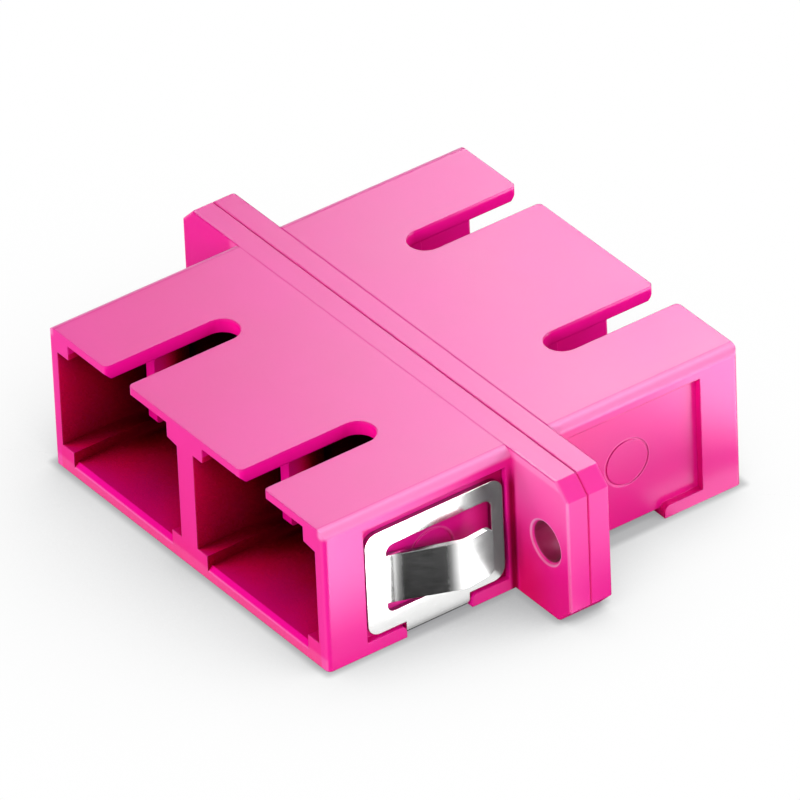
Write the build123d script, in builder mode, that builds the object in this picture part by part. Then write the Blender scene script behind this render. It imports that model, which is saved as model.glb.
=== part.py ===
from build123d import *
import os

# Flanged duplex fibre optic adapter, in millimetres.
# Origin at the middle of the underside. X runs across the two ports, Y along the fibres, Z up.
# The front half, which carries the metal clip, is at -Y.

# Housing: outside
body_width = 25.8
body_height = 9.25
body_length = 28.2
flange_width = 35.8
flange_thickness = 2.9
flange_corner_chamfer = 1.0
flange_edge_fillet = 0.15
top_edge_fillet = 0.6
mouth_edge_fillet = 0.3
seam_chamfer = 0.06
screw_hole_rim_chamfer = 0.2
# shares of the ear's width: the hole's radius (1.2 mm here) and its distance from the ear's end
screw_hole_radius_share = 0.24
screw_hole_end_share = 0.41

# Housing: ports
port_pitch = 12.7
guide_width = 9.4
top_wall = 0.9
bottom_wall = 0.85
outer_wall = 0.8
middle_wall = 1.5
floor_rail_height = 0.7
roof_rail_height = 0.55
roof_rail_slant = 0.15
rail_round = 0.25
floor_lead_in = 0.3
top_lead_in = 0.4
key_slot_width = 2.2
key_slot_length = 8.2
key_slot_corner_fillet = 0.3

# Housing: seat of the latch insert, behind a web at the weld face
seat_depth = 1.0
web_thickness = 1.0
web_overlap = 0.6

# Housing: recess of the metal clip, the same on both sides and on both halves
clip_recess_depth = 0.45
clip_recess_from_mouth = 2.65
clip_recess_from_flange = 0.4
clip_recess_top = 1.03
clip_recess_lip = 0.78
clip_lip_fillet = 0.4
strap_groove_depth = 0.4
strap_groove_chamfer = 0.12
ejector_ring_radius = 1.5
ejector_ring_width = 0.12
ejector_ring_depth = 0.05
ejector_ring_from_mouth = 7.45
ejector_ring_below_recess_top = 3.7

# Metal clip
clip_thickness = 0.3
clip_clearance = 0.03
clip_end_gap = 0.17
wing_top_gap = 0.62
wing_corner_fillet = 0.8
mouth_bar = 1.35
flange_bar = 0.8
top_bar = 1.12
bottom_bar = 1.07
window_corner_fillet = 0.5
tongue_slit = 0.67
tongue_root_flat = 0.2
tongue_ramp_run = 4.0
tongue_rise = 1.6
tongue_land_run = 2.0
tongue_tip_drop = 0.2
tongue_bend_radius = 1.2
tongue_corner_fillet = 0.5
strap_width = 4.3
strap_centre_from_mouth = 7.5
strap_side_gap = 0.06
strap_bend_radius = 0.12

# Latch insert
insert_clearance = 0.05
latch_arm_offset = 4.35
latch_arm_thickness = 0.5
latch_arm_above_floor = 1.15
latch_arm_height = 4.7
latch_arm_tip_from_mouth = 4.9
latch_hook_overhang = 0.3
latch_hook_length = 2.4
latch_hook_root = 0.1
latch_hook_back_fillet = 0.7
latch_nose_fillet = 0.2
holder_radius = 2.2
holder_lip = 0.6
holder_mouth_radius = 1.45
holder_mouth_chamfer = 0.25
holder_end_chamfer = 0.2

# Split sleeve
sleeve_outer_radius = 1.6
sleeve_bore_radius = 1.25
sleeve_length = 11.4
sleeve_slot = 0.5
sleeve_edge_chamfer = 0.06
sleeve_side_clearance = 0.05
sleeve_end_clearance = 0.1

# How near two places count as the same when edges are picked
near = 0.01

# Places worked out from the sizes above. A depth is a distance from the weld face to -Y.
half_width = body_width / 2
half_length = body_length / 2
flange_half = flange_thickness / 2
ear_width = flange_width / 2 - half_width
screw_hole_radius = ear_width * screw_hole_radius_share
screw_hole_x = flange_width / 2 - ear_width * screw_hole_end_share
axis_height = body_height / 2
port_x = port_pitch / 2
guide_height = body_height - top_wall - bottom_wall
guide_centre_z = bottom_wall + guide_height / 2
bay_inner_x = middle_wall / 2
bay_outer_x = half_width - outer_wall
seat_width = 2 * (port_x - bay_inner_x)
web_depth = seat_depth + web_thickness
floor_rail_z = bottom_wall + floor_rail_height
roof_rail_z = body_height - top_wall - roof_rail_height
keyway_straight = key_slot_length - key_slot_width / 2
keyway_end_y = keyway_straight - half_length
tab_round_x = key_slot_width / 2 + key_slot_corner_fillet
tab_round_y = key_slot_corner_fillet - half_length
recess_floor_x = half_width - clip_recess_depth
recess_mouth_depth = half_length - clip_recess_from_mouth
recess_flange_depth = flange_half + clip_recess_from_flange
recess_length = recess_mouth_depth - recess_flange_depth
recess_top_z = body_height - clip_recess_top
recess_centre_y = -(recess_mouth_depth + recess_flange_depth) / 2
recess_centre_z = (recess_top_z + clip_recess_lip) / 2
ejector_ring_y = ejector_ring_from_mouth - half_length
ejector_ring_z = recess_top_z - ejector_ring_below_recess_top
strap_depth = half_length - strap_centre_from_mouth
groove_width = strap_width + 2 * strap_side_gap
holder_bore_radius = sleeve_outer_radius + sleeve_side_clearance
holder_bore_depth = sleeve_length / 2 + sleeve_end_clearance
holder_end_depth = holder_bore_depth + holder_lip
latch_tip_depth = half_length - latch_arm_tip_from_mouth

os.makedirs("parts", exist_ok=True)


def section(depth):
    # plane across the fibres, with x along X and y along Z, facing the front mouth
    return Plane.XZ.offset(depth)


# One moulded half, as it stands in front. Plan outline first, flush at the top and the underside.
with BuildPart() as housing_half:
    with BuildSketch(Plane.XY) as plan:
        with Locations((0, -half_length / 2)):
            Rectangle(body_width, half_length)
        with Locations((0, -flange_half / 2)):
            Rectangle(flange_width, flange_half)
        mouth_corners = plan.vertices().group_by(Axis.Y)[0]
        fillet(mouth_corners, mouth_edge_fillet)
    extrude(amount=body_height)
    ear_corners = housing_half.edges().filter_by(Axis.Y).filter_by(
        lambda e: abs(e.center().X) > flange_width / 2 - near
    )
    chamfer(ear_corners, flange_corner_chamfer)
    ear_edges = housing_half.edges().filter_by(
        lambda e: abs(e.center().Y + flange_half) < near
        and abs(e.center().X) > flange_width / 2 - flange_corner_chamfer
    )
    fillet(ear_edges, flange_edge_fillet)
    weld_outline = housing_half.faces().sort_by(Axis.Y)[-1].outer_wire().edges()
    chamfer(weld_outline, seam_chamfer)

    # rounded long edges of the top, from the flange to the mouth
    with BuildSketch(section(flange_half)):
        for side in (-1, 1):
            with Locations((side * (half_width - top_edge_fillet / 2), body_height - top_edge_fillet / 2)):
                Rectangle(top_edge_fillet, top_edge_fillet)
        for side in (-1, 1):
            with Locations((side * (half_width - top_edge_fillet), body_height - top_edge_fillet)):
                Circle(top_edge_fillet, mode=Mode.SUBTRACT)
    extrude(amount=half_length - flange_half, mode=Mode.SUBTRACT)

    for side in (-1, 1):
        port_centre = side * port_x
        port_left = min(side * bay_inner_x, side * bay_outer_x)
        port_right = max(side * bay_inner_x, side * bay_outer_x)
        guide_right = port_centre + guide_width / 2

        # seat for the insert's plate, open to the weld face, and the window in the web before it
        with BuildSketch(section(0)):
            with Locations((port_centre, guide_centre_z)):
                Rectangle(seat_width, guide_height)
        extrude(amount=seat_depth, mode=Mode.SUBTRACT)
        with BuildSketch(section(seat_depth)):
            with Locations((port_centre, guide_centre_z)):
                Rectangle(seat_width - 2 * web_overlap, guide_height - 2 * web_overlap)
        extrude(amount=web_thickness, mode=Mode.SUBTRACT)

        # port: the guide for the plug, and a side bay on each hand between the corner rails
        with BuildSketch(section(web_depth)) as port_section:
            with Locations((port_centre, guide_centre_z)):
                Rectangle(guide_width, guide_height)
            with BuildLine():
                Polyline(
                    (port_left, floor_rail_z),
                    (port_right, floor_rail_z),
                    (port_right, roof_rail_z - roof_rail_slant),
                    (guide_right, roof_rail_z),
                    (port_left, roof_rail_z),
                    close=True,
                )
            make_face()
            rail_corner = port_section.vertices().filter_by(
                lambda v: abs(v.X - guide_right) < near and abs(v.Z - floor_rail_z) < near
            )
            fillet(rail_corner, rail_round)
        extrude(amount=half_length - web_depth, mode=Mode.SUBTRACT)

    # lead-in slopes along the floor and the roof of each mouth
    mouth_edges = housing_half.edges().filter_by(Axis.X).group_by(Axis.Y)[0]
    floor_edges = mouth_edges.filter_by(lambda e: abs(e.center().Z - bottom_wall) < near)
    roof_edges = mouth_edges.filter_by(lambda e: abs(e.center().Z - body_height + top_wall) < near)
    chamfer(floor_edges, floor_lead_in)
    chamfer(roof_edges, top_lead_in)

    # keyways through the top wall, with rounded corners where they open at the mouth
    with BuildSketch(Plane.XY.offset(body_height - top_wall)):
        for side in (-1, 1):
            with Locations((side * port_x, keyway_end_y - keyway_straight / 2)):
                Rectangle(key_slot_width, keyway_straight)
            with Locations((side * port_x, keyway_end_y)):
                Circle(key_slot_width / 2)
            with Locations((side * port_x, tab_round_y - key_slot_corner_fillet / 2)):
                Rectangle(key_slot_width + 2 * key_slot_corner_fillet, key_slot_corner_fillet)
            for hand in (-1, 1):
                with Locations((side * port_x + hand * tab_round_x, tab_round_y)):
                    Circle(key_slot_corner_fillet, mode=Mode.SUBTRACT)
    extrude(amount=top_wall, mode=Mode.SUBTRACT)

    # screw holes in the ears
    with BuildSketch(section(0)):
        with Locations((-screw_hole_x, axis_height), (screw_hole_x, axis_height)):
            Circle(screw_hole_radius)
    extrude(amount=flange_half, mode=Mode.SUBTRACT)
    hole_rims = housing_half.edges().filter_by(GeomType.CIRCLE).filter_by(
        lambda e: abs(e.center().Y + flange_half) < near and abs(e.center().Z - axis_height) < near
    )
    chamfer(hole_rims, screw_hole_rim_chamfer)

    for side in (-1, 1):
        # recess of the clip's wing, with a notch through its lower lip for the strap
        with BuildSketch(Plane.YZ.offset(side * half_width)) as recess:
            with Locations((recess_centre_y, recess_centre_z)):
                Rectangle(recess_length, recess_top_z - clip_recess_lip)
            with Locations((-strap_depth, recess_centre_z / 2)):
                Rectangle(groove_width, recess_centre_z)
            lip_corners = recess.vertices().filter_by(
                lambda v: abs(v.Y - clip_recess_lip) < near
                and abs(v.X + strap_depth) < groove_width / 2 + near
            )
            fillet(lip_corners, clip_lip_fillet)
        extrude(amount=-side * clip_recess_depth, mode=Mode.SUBTRACT)
        # fine ring left by the ejector pin
        with BuildSketch(Plane.YZ.offset(side * recess_floor_x)):
            with Locations((ejector_ring_y, ejector_ring_z)):
                Circle(ejector_ring_radius)
                Circle(ejector_ring_radius - ejector_ring_width, mode=Mode.SUBTRACT)
        extrude(amount=-side * ejector_ring_depth, mode=Mode.SUBTRACT)

    # groove for the strap across the underside, eased where the strap bends round it
    with BuildSketch(Plane.XY):
        with Locations((0, -strap_depth)):
            Rectangle(body_width, groove_width)
    extrude(amount=strap_groove_depth, mode=Mode.SUBTRACT)
    groove_edges = housing_half.edges().filter_by(Axis.Y).filter_by(
        lambda e: abs(e.center().Z - strap_groove_depth) < near
    )
    bend_edges = groove_edges.filter_by(lambda e: abs(abs(e.center().X) - recess_floor_x) < near)
    chamfer(bend_edges, strap_groove_chamfer)


# Both halves are the same moulding. The rear one is turned half a turn about the vertical.
for name, turn in (("front_housing", 0), ("rear_housing", 180)):
    housing = housing_half.part.moved(Location((0, 0, 0), (0, 0, turn)))
    housing.label = name
    export_step(housing, f"parts/{name}.step")


# Metal clip: one sheet, with a wing in each side recess and a strap under the body
wing_inner_x = recess_floor_x + clip_clearance
wing_middle_x = wing_inner_x + clip_thickness / 2
wing_mouth_y = -(recess_mouth_depth - clip_end_gap)
wing_flange_y = -(recess_flange_depth + clip_end_gap)
wing_top_z = recess_top_z - wing_top_gap
wing_bottom_z = clip_recess_lip + clip_end_gap
window_mouth_y = wing_mouth_y + mouth_bar
window_flange_y = wing_flange_y - flange_bar
window_top_z = wing_top_z - top_bar
window_bottom_z = wing_bottom_z + bottom_bar
strap_z = strap_groove_depth - clip_clearance - clip_thickness / 2
ramp_start_y = window_mouth_y + tongue_root_flat
ramp_end_y = ramp_start_y + tongue_ramp_run
tongue_x = wing_middle_x + tongue_rise

with BuildPart() as metal_clip:
    # right wing with its window
    with BuildSketch(Plane.YZ.offset(wing_inner_x)) as wing:
        with Locations(((wing_mouth_y + wing_flange_y) / 2, (wing_top_z + wing_bottom_z) / 2)):
            Rectangle(wing_flange_y - wing_mouth_y, wing_top_z - wing_bottom_z)
        fillet(wing.vertices(), wing_corner_fillet)
        with BuildSketch(mode=Mode.SUBTRACT) as window:
            with Locations(((window_mouth_y + window_flange_y) / 2, (window_top_z + window_bottom_z) / 2)):
                Rectangle(window_flange_y - window_mouth_y, window_top_z - window_bottom_z)
            fillet(window.vertices(), window_corner_fillet)
    extrude(amount=clip_thickness)
    # sprung tongue, which ramps outwards from the bar at the mouth side
    with BuildSketch(Plane.XY.offset(window_bottom_z + tongue_slit)):
        with BuildLine() as tongue_path:
            FilletPolyline(
                (wing_middle_x, window_mouth_y - mouth_bar / 2),
                (wing_middle_x, ramp_start_y),
                (tongue_x, ramp_end_y),
                (tongue_x - tongue_tip_drop, ramp_end_y + tongue_land_run),
                radius=tongue_bend_radius,
            )
        trace(tongue_path.line, line_width=clip_thickness)
    extrude(amount=window_top_z - window_bottom_z - 2 * tongue_slit)
    tip = metal_clip.faces().filter_by(lambda f: f.center().X > tongue_x - clip_thickness).sort_by(Axis.Y)[-1]
    tip_corners = tip.edges().filter_by(lambda e: e.length < 2 * clip_thickness)
    fillet(tip_corners, tongue_corner_fillet)
    mirror(about=Plane.YZ)
    # strap, bent up into both wings
    with BuildSketch(section(strap_depth - strap_width / 2)):
        with BuildLine() as strap_path:
            FilletPolyline(
                (-wing_middle_x, wing_bottom_z + bottom_bar / 2),
                (-wing_middle_x, strap_z),
                (wing_middle_x, strap_z),
                (wing_middle_x, wing_bottom_z + bottom_bar / 2),
                radius=strap_bend_radius + clip_thickness / 2,
            )
        trace(strap_path.line, line_width=clip_thickness)
    extrude(amount=strap_width)

metal_clip.part.label = "metal_clip"
export_step(metal_clip.part, "parts/metal_clip.step")


# Latch insert, drawn on the fibre axis at x = 0 and facing front: a plate that sits in the seat,
# half of the tube that holds the split sleeve, and a latch arm on each hand.
arm_inner = latch_arm_offset - latch_arm_thickness
arm_length = latch_tip_depth - seat_depth / 2
arm_bottom_z = bottom_wall + latch_arm_above_floor
arm_centre_z = arm_bottom_z + latch_arm_height / 2

with BuildPart() as latch_insert:
    with BuildSketch(section(0)):
        with Locations((0, guide_centre_z)):
            Rectangle(seat_width - 2 * insert_clearance, guide_height - 2 * insert_clearance)
    extrude(amount=seat_depth - insert_clearance)
    # latch arms
    with BuildSketch(Plane.XY.offset(arm_bottom_z)):
        for hand in (-1, 1):
            with Locations((hand * (arm_inner + latch_arm_thickness / 2), arm_length / 2 - latch_tip_depth)):
                Rectangle(latch_arm_thickness, arm_length)
    extrude(amount=latch_arm_height)
    # hook inside each arm's tip, with its two rear corners rounded off
    for hand in (-1, 1):
        with BuildSketch(Plane.YZ.offset(hand * (arm_inner + latch_hook_root))) as hook:
            with Locations((latch_hook_length / 2 - latch_tip_depth, arm_centre_z)):
                Rectangle(latch_hook_length, latch_arm_height)
            fillet(hook.vertices().group_by(Axis.Y)[-1], latch_hook_back_fillet)
        extrude(amount=-hand * (latch_hook_root + latch_hook_overhang))
    nose_edges = latch_insert.edges().filter_by(Axis.X).filter_by(
        lambda e: abs(e.center().Y + latch_tip_depth) < near
    )
    fillet(nose_edges, latch_nose_fillet)
    # tube for the split sleeve
    with BuildSketch(section(seat_depth / 2)):
        with Locations((0, axis_height)):
            Circle(holder_radius)
    extrude(amount=holder_end_depth - seat_depth / 2)
    tube_end = (
        latch_insert.edges()
        .filter_by(GeomType.CIRCLE)
        .filter_by(lambda e: abs(e.radius - holder_radius) < near)
        .sort_by(Axis.Y)[0]
    )
    chamfer(tube_end, holder_end_chamfer)
    with BuildSketch(section(0)):
        with Locations((0, axis_height)):
            Circle(holder_bore_radius)
    extrude(amount=holder_bore_depth, mode=Mode.SUBTRACT)
    with BuildSketch(section(holder_bore_depth)):
        with Locations((0, axis_height)):
            Circle(holder_mouth_radius)
    extrude(amount=holder_lip, mode=Mode.SUBTRACT)
    lip_edge = (
        latch_insert.edges()
        .filter_by(GeomType.CIRCLE)
        .filter_by(lambda e: abs(e.radius - holder_mouth_radius) < near)
        .sort_by(Axis.Y)[0]
    )
    chamfer(lip_edge, holder_mouth_chamfer)

for end, turn in (("front", 0), ("rear", 180)):
    for hand, place_x in (("left", -port_x), ("right", port_x)):
        insert = latch_insert.part.moved(Location((place_x, 0, 0), (0, 0, turn)))
        insert.label = f"latch_insert_{end}_{hand}"
        export_step(insert, f"parts/{insert.label}.step")


# Split sleeve of zirconia, slotted along its whole length so that it grips both ferrules
with BuildPart() as split_sleeve:
    with BuildSketch(section(-sleeve_length / 2)):
        with Locations((0, axis_height)):
            Circle(sleeve_outer_radius)
            Circle(sleeve_bore_radius, mode=Mode.SUBTRACT)
    extrude(amount=sleeve_length)
    chamfer(split_sleeve.edges().filter_by(GeomType.CIRCLE), sleeve_edge_chamfer)
    with BuildSketch(section(-sleeve_length / 2)):
        with Locations((0, axis_height + sleeve_outer_radius)):
            Rectangle(sleeve_slot, 2 * (sleeve_outer_radius - sleeve_bore_radius / 2))
    extrude(amount=sleeve_length, mode=Mode.SUBTRACT)

for hand, place_x in (("left", -port_x), ("right", port_x)):
    sleeve = split_sleeve.part.moved(Location((place_x, 0, 0)))
    sleeve.label = f"split_sleeve_{hand}"
    export_step(sleeve, f"parts/{sleeve.label}.step")
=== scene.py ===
import math

import bmesh
import bpy
from mathutils import Matrix, Vector

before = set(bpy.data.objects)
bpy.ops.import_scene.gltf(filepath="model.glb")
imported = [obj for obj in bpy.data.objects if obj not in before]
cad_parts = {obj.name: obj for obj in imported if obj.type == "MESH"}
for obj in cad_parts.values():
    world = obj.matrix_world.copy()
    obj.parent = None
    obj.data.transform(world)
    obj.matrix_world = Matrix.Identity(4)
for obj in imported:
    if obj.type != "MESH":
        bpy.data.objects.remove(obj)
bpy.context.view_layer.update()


# The two housing halves are injection moulded in glossy magenta plastic and welded along the
# flange. The mould's outside is polished, with a faint ripple, fine witness lines on the top and a
# darker weld line. Its colour also carries painted highlights on the edges and painted shade in
# the corners and creases. Inside, the cores leave a matt finish, painted with shade that turns
# it dark red with the depth.
class Wire:
    """A socket in a node tree, on which Python's operators add Math nodes."""

    def __init__(self, tree, socket=None):
        self.tree = tree
        self.socket = socket

    def plug(self, node, inputs):
        for key, value in inputs.items():
            if isinstance(value, Wire):
                self.tree.links.new(value.socket, node.inputs[key])
            else:
                node.inputs[key].default_value = value

    def node(self, kind, inputs=None, out=0, **settings):
        made = self.tree.nodes.new(kind)
        for key, value in settings.items():
            setattr(made, key, value)
        self.plug(made, inputs or {})
        return Wire(self.tree, made.outputs[out])

    def math(self, operation, *values):
        return self.node("ShaderNodeMath", dict(enumerate(values)), operation=operation)

    def __add__(self, other):
        return self.math("ADD", self, other)

    def __radd__(self, other):
        return self.math("ADD", other, self)

    def __sub__(self, other):
        return self.math("SUBTRACT", self, other)

    def __rsub__(self, other):
        return self.math("SUBTRACT", other, self)

    def __mul__(self, other):
        return self.math("MULTIPLY", self, other)

    def __rmul__(self, other):
        return self.math("MULTIPLY", other, self)

    def __neg__(self):
        return 0.0 - self

    def __abs__(self):
        return self.math("ABSOLUTE", self)

    def larger(self, other):
        return self.math("MAXIMUM", self, other)

    def smaller(self, other):
        return self.math("MINIMUM", self, other)

    def hypot(self, other):
        """Distance from the point where both values are 0."""
        return self.math("SQRT", self * self + other * other)

    def axis(self, name):
        return self.node("ShaderNodeSeparateXYZ", {0: self}, out=name)

    def ramp(self, low, high):
        """0 at low and 1 at high, eased at both ends."""
        span = {"Value": self, "From Min": low, "From Max": high}
        return self.node("ShaderNodeMapRange", span, interpolation_type="SMOOTHSTEP")

    def fall(self, low, high):
        """1 at low and 0 at high, eased at both ends."""
        return 1.0 - self.ramp(low, high)

    def line(self, width):
        """1 where this value is 0, and 0 from width away."""
        return abs(self).fall(0.0, width)

    def blend(self, first, second):
        """The first colour where this value is 0, the second where it is 1."""
        parts = {"Factor": self, 6: first, 7: second}
        return self.node("ShaderNodeMix", parts, out=2, data_type="RGBA")

    def noise(self, size, detail=2.0, stretch=(1.0, 1.0, 1.0)):
        spread = self.node("ShaderNodeMapping", {"Vector": self, "Scale": stretch})
        grain = {"Vector": spread, "Scale": 1.0 / size, "Detail": detail}
        return self.node("ShaderNodeTexNoise", grain)

    def bump(self, distance, base):
        return self.node("ShaderNodeBump", {"Height": self, "Distance": distance, "Normal": base})

    def become_surface(self):
        self.tree.links.new(self.socket, self.tree.nodes["Material Output"].inputs["Surface"])


def new_material(name):
    material = bpy.data.materials.new(name)
    material.use_nodes = True
    tree = material.node_tree
    place = Wire(tree, tree.nodes.new("ShaderNodeTexCoord").outputs["Object"])
    return material, tree.nodes["Principled BSDF"], place


def dress(node, material):
    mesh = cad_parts[node].data
    mesh.materials.clear()
    mesh.materials.append(material)


# Sizes of the solids, in metres, that the finish follows.
body_half_width = 0.0129
body_half_length = 0.0141
body_height = 0.00925
cavity_half_width = 0.0121
recess_half_width = 0.01245
edge_start_x = 0.0123
flange_half_width = 0.0179
flange_half_thickness = 0.00145
ear_hole_x = 0.01585
ear_hole_z = 0.004625
ear_hole_radius = 0.0012
pin_ring_y = 0.00665
pin_ring_z = 0.00452
pin_ring_radius = 0.0015


def plastic(name, with_lines):
    material, shader, place = new_material(name)
    across, along, upright = (place.axis(letter) for letter in "XYZ")
    outward, endward = abs(across), abs(along)
    near_top = upright.ramp(0.0086, 0.0089)
    pigment = place.noise(0.009, 3.0)
    ripple = place.noise(0.0016)
    grain = place.noise(0.00012)
    fresh_magenta = (0.81, 0.003, 0.26, 1.0)
    rich_magenta = (0.84, 0.004, 0.29, 1.0)
    colour = pigment.ramp(0.3, 0.7).blend(fresh_magenta, rich_magenta)

    # Painted highlights in pale pink: the rounded top edges, the upper right ear with its hole's
    # rim and its end, and the front mouths.
    on_body = endward.ramp(flange_half_thickness - 0.00005, flange_half_thickness + 0.00005)
    top_edge_highlight = outward.ramp(edge_start_x, edge_start_x + 0.0003) * near_top * on_body
    on_ear = outward.ramp(body_half_width, 0.0135) * (along + 0.0012).fall(-0.0002, 0.0)
    from_hole = (outward - ear_hole_x).hypot(upright - ear_hole_z)
    rim_highlight = abs(from_hole - (ear_hole_radius + 0.00018)).fall(0.00002, 0.00009)
    ear_edge_highlight = outward.ramp(flange_half_width - 0.00011, flange_half_width - 0.00004)
    painted_highlight = top_edge_highlight * 0.45 + on_ear * upright.ramp(0.003, 0.0092) * 0.25
    painted_highlight = painted_highlight + on_ear * (rim_highlight * 0.7 + ear_edge_highlight * 0.3)
    painted_highlight = painted_highlight * (1.0 - on_ear * (-across).ramp(0.0, 0.001))
    mouth_from, mouth_to = body_half_length - 0.0001, body_half_length - 0.00002
    on_mouth = (-along).ramp(mouth_from, mouth_to)
    painted_highlight = painted_highlight + on_mouth * (0.06 + 0.14 * upright.fall(0.0006, 0.0009))
    highlight_pink = (0.92, 0.42, 0.72, 1.0)
    colour = painted_highlight.blend(colour, highlight_pink)

    # Painted shade from ambient occlusion: red to nearly black with the depth in the ports, but not
    # outside or in the rear half.
    on_side = outward.ramp(cavity_half_width + 0.00012, cavity_half_width + 0.00028)
    ambient_occlusion = place.node("ShaderNodeAmbientOcclusion", {"Distance": 0.015}, out="AO", samples=8)
    past_cavity = outward.ramp(cavity_half_width + 0.0001, cavity_half_width + 0.0003)
    outside = past_cavity * 0.5 + upright.ramp(0.0081, 0.0084)
    openness = ambient_occlusion + outside + along.ramp(0.004, 0.009) * 0.8
    if not with_lines:
        openness = openness + endward.ramp(0.0070, 0.0092) * 0.4
    shade_black = (0.008, 0.0, 0.0, 1.0)
    shade_red = (0.80, 0.0, 0.012, 1.0)
    painted_depth_shade = openness.ramp(0.19, 0.42).blend(shade_black, shade_red)
    colour = openness.ramp(0.30, 0.60).blend(painted_depth_shade, colour)

    # Painted shade: redder at the foot of the ears, dark in the corners of the recess and beside
    # the ears.
    ear_low = on_ear * upright.fall(0.001, 0.0068)
    ear_foot_shade = ear_low * (1.0 - outward.ramp(0.0140, 0.0172) * 0.6)
    foot_shade_red = (0.70, 0.0, 0.12, 1.0)
    colour = ear_foot_shade.blend(colour, foot_shade_red)
    recess_floor = outward.fall(recess_half_width + 0.00005, recess_half_width + 0.00015)
    in_recess = on_side * recess_floor * upright.fall(0.0081, 0.0083)
    nook_shadow = in_recess * along.ramp(-0.0043, -0.0027) * along.fall(-0.0016, -0.0014)
    from_corner = (outward - body_half_width).hypot(along + flange_half_thickness)
    corner = from_corner.fall(0.00012, 0.0004) * upright.fall(0.0068, 0.0086)
    shaded = (nook_shadow * 0.7).larger(corner * 0.9)
    corner_shade_red = (0.25, 0.0, 0.015, 1.0)
    colour = shaded.blend(colour, corner_shade_red)

    # The ejector pin's ring, then painted shade in the creases and in the ears' holes.
    to_pin = (endward - pin_ring_y).hypot(upright - pin_ring_z)
    ring = in_recess * abs(to_pin - pin_ring_radius).fall(0.00005, 0.0001)
    ring_pink = (0.95, 0.12, 0.46, 1.0)
    colour = (ring * 0.45).blend(colour, ring_pink)
    near = {"Distance": 0.0018}
    crease = place.node("ShaderNodeAmbientOcclusion", near, out="AO", samples=4, only_local=True)
    crease = crease + on_side * 0.5 + near_top
    crease_shade_red = (0.20, 0.0, 0.01, 1.0)
    colour = crease.ramp(0.1, 0.75).blend(crease_shade_red, colour)
    in_hole = from_hole.fall(ear_hole_radius + 0.00001, ear_hole_radius + 0.00006)
    hole_shade_red = (0.20, 0.01, 0.03, 1.0)
    colour = (in_hole * 0.85).blend(colour, hole_shade_red)

    # Matt inside the ports, in the corners and on the lines.
    below_top = upright.fall(body_height - 0.00025, body_height - 0.00007)
    matt_share = endward.fall(mouth_from, mouth_to) * (1.0 - on_side) * below_top + shaded
    if with_lines:
        on_top = upright.ramp(body_height - 0.0001, body_height - 0.00008)
        front_line = (along + flange_half_thickness).line(0.00006) * 0.6
        rear_line = (along - flange_half_thickness).line(0.00008) * 0.9
        # The tangent line is painted shade where the top meets its rounded edges.
        tangent_shade_line = (outward - edge_start_x).line(0.00007) * on_body * 0.4
        mark = (front_line + rear_line + tangent_shade_line) * on_top
        line_and_shade_magenta = (0.74, 0.01, 0.24, 1.0)
        colour = mark.blend(colour, line_and_shade_magenta)
        weld = endward.fall(0.00005, 0.0001) * 0.9
        weld_side = (0.80, 0.03, 0.24, 1.0)
        weld_top = (0.88, 0.07, 0.34, 1.0)
        colour = weld.blend(colour, on_top.blend(weld_side, weld_top))
        matt_share = matt_share + mark + weld

    # Painted reflection: glossy rays see the ears neutral grey, so the clip's steel mirrors them
    # grey.
    mirrored = place.node("ShaderNodeLightPath", out="Is Glossy Ray")
    reflected_ear_grey = (0.14, 0.14, 0.14, 1.0)
    on_ears = outward.ramp(body_half_width - 0.0001, body_half_width + 0.0001)
    colour = (mirrored * on_ears).blend(colour, reflected_ear_grey)

    surface = place.node("ShaderNodeBevel", {"Radius": 0.00009}, samples=6)
    surface = ripple.bump(0.000006, surface)
    surface = grain.bump(0.0000006, surface)
    polish = {
        "Base Color": colour,
        "Normal": surface,
        "Roughness": 0.27 + 0.08 * pigment + 0.04 * grain,
        "IOR": 1.53,
        "Specular Tint": (0.35, 0.79, 1.0, 1.0),
    }
    place.plug(shader, polish)
    cored = {"Base Color": colour, "Normal": surface, "Roughness": 0.6, "Specular IOR Level": 0.03}
    matt = place.node("ShaderNodeBsdfPrincipled", cored)
    both = {0: matt_share, 1: Wire(place.tree, shader.outputs[0]), 2: matt}
    place.node("ShaderNodeMixShader", both).become_surface()
    return material


housing_plastic = plastic("magenta_housing_plastic", True)
for half in ("front_housing", "rear_housing"):
    dress(half, housing_plastic)


# The four latch inserts are moulded in the same plastic and drop into their seats from the weld
# face before the halves are joined.
insert_plastic = plastic("magenta_insert_plastic", False)
for end in ("front", "rear"):
    for hand in ("left", "right"):
        dress(f"latch_insert_{end}_{hand}", insert_plastic)


# The split sleeves are ground zirconia, off-white and hard, and float in the tubes of the
# inserts.
sleeve_ceramic, shader, place = new_material("white_zirconia")
tone = place.noise(0.0008, 3.0)
rounded = place.node("ShaderNodeBevel", {"Radius": 0.00004})
warm_white = (0.86, 0.83, 0.78, 1.0)
clear_white = (0.93, 0.91, 0.87, 1.0)
ground = {
    "Base Color": tone.blend(warm_white, clear_white),
    "Roughness": 0.22 + 0.1 * tone,
    "Normal": place.noise(0.00004).bump(0.0000004, rounded),
    "IOR": 2.1,
}
place.plug(shader, ground)
for hand in ("left", "right"):
    dress(f"split_sleeve_{hand}", sleeve_ceramic)


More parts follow.
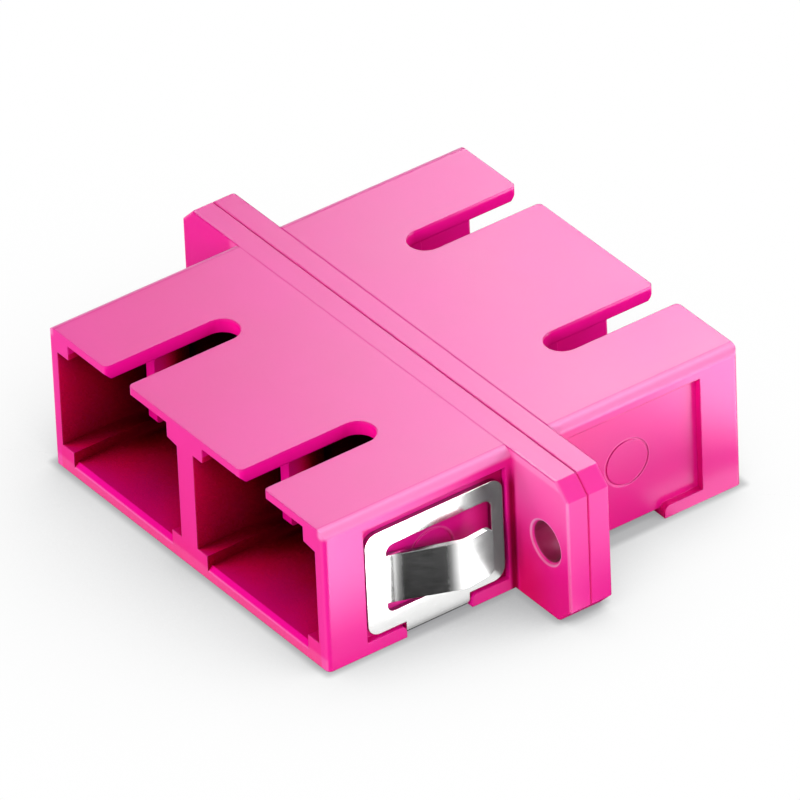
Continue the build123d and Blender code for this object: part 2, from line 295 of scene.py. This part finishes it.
# The clip is stamped from one sheet of bright spring steel, 0.3 mm thick. Rolling leaves fine
# streaks along the sheet, and the press leaves darker cut edges. The tongues' slopes carry a
# painted dark reflection, with duller bend lines at both ends.
spring_steel, shader, place = new_material("bright_spring_steel")
across, along, upright = (place.axis(letter) for letter in "XYZ")
streaks = place.noise(0.00025, 4.0, stretch=(1.0, 0.12, 1.0))
mottle = place.noise(0.0009, 3.0)
rounded = place.node("ShaderNodeBevel", {"Radius": 0.00006}, samples=6)
sprung = abs(across).ramp(0.01283, 0.01295)
slope_dark_reflection = along.ramp(-0.0098, -0.0092) * along.fall(-0.0066, -0.0058) * sprung
foot_bend_y = -0.0095
land_bend_y = -0.0061
bends = ((along - foot_bend_y).line(0.0006) + (along - land_bend_y).line(0.0008)) * sprung
cut = abs(across).fall(0.0127, 0.01276) * upright.ramp(0.0012, 0.0016)
dull_steel = (0.84, 0.84, 0.835, 1.0)
bright_steel = (0.92, 0.92, 0.915, 1.0)
cut_and_reflection_dark = (0.10, 0.10, 0.10, 1.0)
bare = mottle.blend(dull_steel, bright_steel)
stamped = {
    "Base Color": (slope_dark_reflection * 0.82).larger(cut * 0.75).blend(bare, cut_and_reflection_dark),
    "Metallic": 1.0,
    "Roughness": 0.14 + 0.12 * streaks + 0.35 * bends,
    "Normal": mottle.bump(0.000003, streaks.bump(0.000001, rounded)),
}
place.plug(shader, stamped)
dress("metal_clip", spring_steel)


# Floor: a pale sheet. The camera sees it white with a soft neutral shadow, the light bounces off
# it as off paper, and reflections see a dark contact zone that opens onto the cards below.
floor_size = 6.0
floor_drop = 0.00002
bpy.ops.mesh.primitive_plane_add(size=floor_size, location=(0, 0, -floor_drop))
floor = bpy.context.object
floor.name = "floor"
floor_material, shader, place = new_material("pale_floor")
across, along = place.axis("X"), place.axis("Y")


def gap_to(half_x, centre_y, half_y):
    """Distance on the floor from an upright block of this footprint."""
    beside = (abs(across) - half_x).larger(0.0)
    beyond = (abs(along - centre_y) - half_y).larger(0.0)
    return beside.hypot(beyond)


paper_grey = (0.80, 0.80, 0.80, 1.0)
place.plug(shader, {"Base Color": paper_grey, "Roughness": 0.9, "Specular IOR Level": 0.1})
paper = Wire(place.tree, shader.outputs[0])

near_open = place.node("ShaderNodeAmbientOcclusion", {"Distance": 0.006}, out="AO", samples=10)
lean = place.node("ShaderNodeCombineXYZ", {"X": 0.2, "Y": 0.25, "Z": 0.95})
tilted = {"Distance": 0.04, "Normal": lean}
wide_open = place.node("ShaderNodeAmbientOcclusion", tilted, out="AO", samples=12)
shadow = near_open.ramp(0.0, 1.0) * 0.35 + wide_open.ramp(0.05, 0.95) * 0.65
from_body = gap_to(body_half_width, 0.0, body_half_length)
ear_foot_half_width = 0.0169
touching = from_body.smaller(gap_to(ear_foot_half_width, 0.0, flange_half_thickness))
shadow = shadow * (0.45 + 0.55 * touching.ramp(0.0, 0.0006))
shadow_grey = (0.30, 0.30, 0.31, 1.0)
white = (1.0, 1.0, 1.0, 1.0)
tint = shadow.blend(shadow_grey, white)
seen = place.node("ShaderNodeEmission", {"Color": tint, "Strength": 1.0})

away = from_body.smaller(gap_to(flange_half_width, 0.0015, 0.0015))
opening = 0.05 + away.ramp(0.0002, 0.001) * 0.05 + away.ramp(0.0015, 0.0085) * 0.9
beside_ears = along.ramp(-0.0015, 0.003) * along.fall(0.013, 0.019)
opening = opening * (1.0 - beside_ears * 0.6)
glint_x = 0.019
glint_y = -0.0025
from_glint = (abs(across) - glint_x).hypot(along - glint_y)
opening = opening + from_glint.fall(0.0015, 0.004) * 0.2
opening = opening + along.ramp(0.0085, 0.0100) * away.fall(0.001, 0.0025) * 0.35
dark = place.node("ShaderNodeEmission", {"Strength": 0.0})
clear = place.node("ShaderNodeBsdfTransparent")
below = place.node("ShaderNodeMixShader", {0: opening, 1: dark, 2: clear})

to_camera = place.node("ShaderNodeLightPath", out="Is Camera Ray")
to_gloss = place.node("ShaderNodeLightPath", out="Is Glossy Ray")
direct = place.node("ShaderNodeMixShader", {0: to_camera, 1: paper, 2: seen})
place.node("ShaderNodeMixShader", {0: to_gloss, 1: direct, 2: below}).become_surface()
floor.data.materials.append(floor_material)


# Reflection cards, which only glossy rays see: a bright one behind, whose left edge lies across the
# top's reflection, dimmer ones all round, and four below the floor.
def card(name, corners, strength):
    sheet = bmesh.new()
    sheet.faces.new([sheet.verts.new(corner) for corner in corners])
    mesh = bpy.data.meshes.new(name)
    sheet.to_mesh(mesh)
    sheet.free()
    made = bpy.data.objects.new(name, mesh)
    bpy.context.collection.objects.link(made)
    material, _, place = new_material(name)
    place.node("ShaderNodeEmission", {"Strength": strength}).become_surface()
    material.cycles.emission_sampling = "NONE"
    mesh.materials.append(material)
    made.visible_camera = False
    made.visible_diffuse = False
    made.visible_transmission = False
    made.visible_shadow = False


for name, start, end, low, high, strength in (
    ("card_behind_left", (-0.5, 0.12), (-0.172, 0.12), 0.02, 0.36, 1.7),
    ("card_behind", (-0.172, 0.12), (0.10, 0.12), 0.07, 0.36, 10.0),
    ("card_behind_low", (-0.172, 0.12), (0.10, 0.12), 0.02, 0.07, 2.0),
    ("card_behind_right", (0.10, 0.12), (0.30, 0.12), 0.02, 0.36, 2.5),
    ("card_right", (0.30, 0.12), (0.30, -0.20), 0.02, 0.36, 2.0),
    ("card_front", (0.30, -0.20), (-0.5, -0.20), 0.02, 0.36, 2.0),
    ("card_left", (-0.5, -0.20), (-0.5, 0.12), 0.02, 0.36, 2.0),
):
    card(name, [(*start, low), (*end, low), (*end, high), (*start, high)], strength)
for name, centre, side, up, strength in (
    ("card_below", (0.188, 0.158, -0.171), (-0.096, 0.1155, 0.0), (0.088, 0.074, 0.164), 9.5),
    ("card_below_left", (-0.30, 0.10, -0.12), (0.0, -0.22, 0.0), (0.0, 0.0, 0.10), 1.4),
    ("card_below_right", (0.30, -0.05, -0.08), (0.0, 0.14, 0.0), (0.0, 0.0, 0.06), 2.0),
    ("card_below_behind", (-0.12, 0.28, -0.14), (0.16, 0.0, 0.0), (0.0, 0.0, 0.11), 1.2),
):
    centre, side, up = Vector(centre), Vector(side), Vector(up)
    corners = [centre - side - up, centre + side - up, centre + side + up, centre - side + up]
    card(name, corners, strength)


# Studio light: five soft panels round the part, with an even dim surround and a white background.
# The cards above make all the reflections. A panel's level is how bright it makes a white sheet.
def panel(name, direction, level):
    distance = 0.40
    data = bpy.data.lights.new(name, "AREA")
    data.shape = "SQUARE"
    data.size = 0.16
    data.energy = level * math.pi**2 * distance**2
    lamp = bpy.data.objects.new(name, data)
    bpy.context.collection.objects.link(lamp)
    toward = Vector(direction).normalized()
    lamp.location = toward * distance
    lamp.rotation_euler = toward.to_track_quat("Z", "Y").to_euler()
    lamp.visible_camera = False
    lamp.visible_glossy = False


panel("panel_front_left", (-0.40, -0.83, 0.39), 0.36)
panel("panel_front_right", (0.33, -0.86, 0.36), 0.62)
panel("panel_right", (0.95, 0.05, 0.30), 0.26)
panel("panel_back_right", (0.55, 0.79, 0.27), 0.50)
panel("panel_left", (-0.95, 0.15, 0.20), 0.30)

world = bpy.data.worlds.new("surround")
bpy.context.scene.world = world
world.use_nodes = True
sky = Wire(world.node_tree)
to_camera = sky.node("ShaderNodeLightPath", out="Is Camera Ray")
to_gloss = sky.node("ShaderNodeLightPath", out="Is Glossy Ray")
strength = 0.16 + to_camera * 0.84 - to_gloss * 0.10
sky.plug(world.node_tree.nodes["Background"], {"Color": white, "Strength": strength})


# Camera: the photograph is taken from above the right front corner with a long lens, and is
# rolled a little. The numbers come from a camera fitted to the part's edges and corners.
azimuth = math.radians(55.165)
elevation = math.radians(34.824)
roll = math.radians(2.533)
aim = Vector((-0.000123, 0.00045, 0.004625))
camera_distance = 0.750622
back = Vector((
    math.sin(azimuth) * math.cos(elevation),
    -math.cos(azimuth) * math.cos(elevation),
    math.sin(elevation),
))
camera_data = bpy.data.cameras.new("camera")
camera_data.lens = 611.54
camera_data.sensor_width = 36.0
camera_data.clip_start = 0.01
camera_data.clip_end = 20.0
camera = bpy.data.objects.new("camera", camera_data)
bpy.context.collection.objects.link(camera)
camera.rotation_mode = "QUATERNION"
camera.location = aim + back * camera_distance
unrolled = (-back).to_track_quat("-Z", "Y")
camera.rotation_quaternion = unrolled @ Matrix.Rotation(-roll, 3, "Z").to_quaternion()
bpy.context.scene.camera = camera
bpy.context.scene.view_settings.view_transform = "Standard"
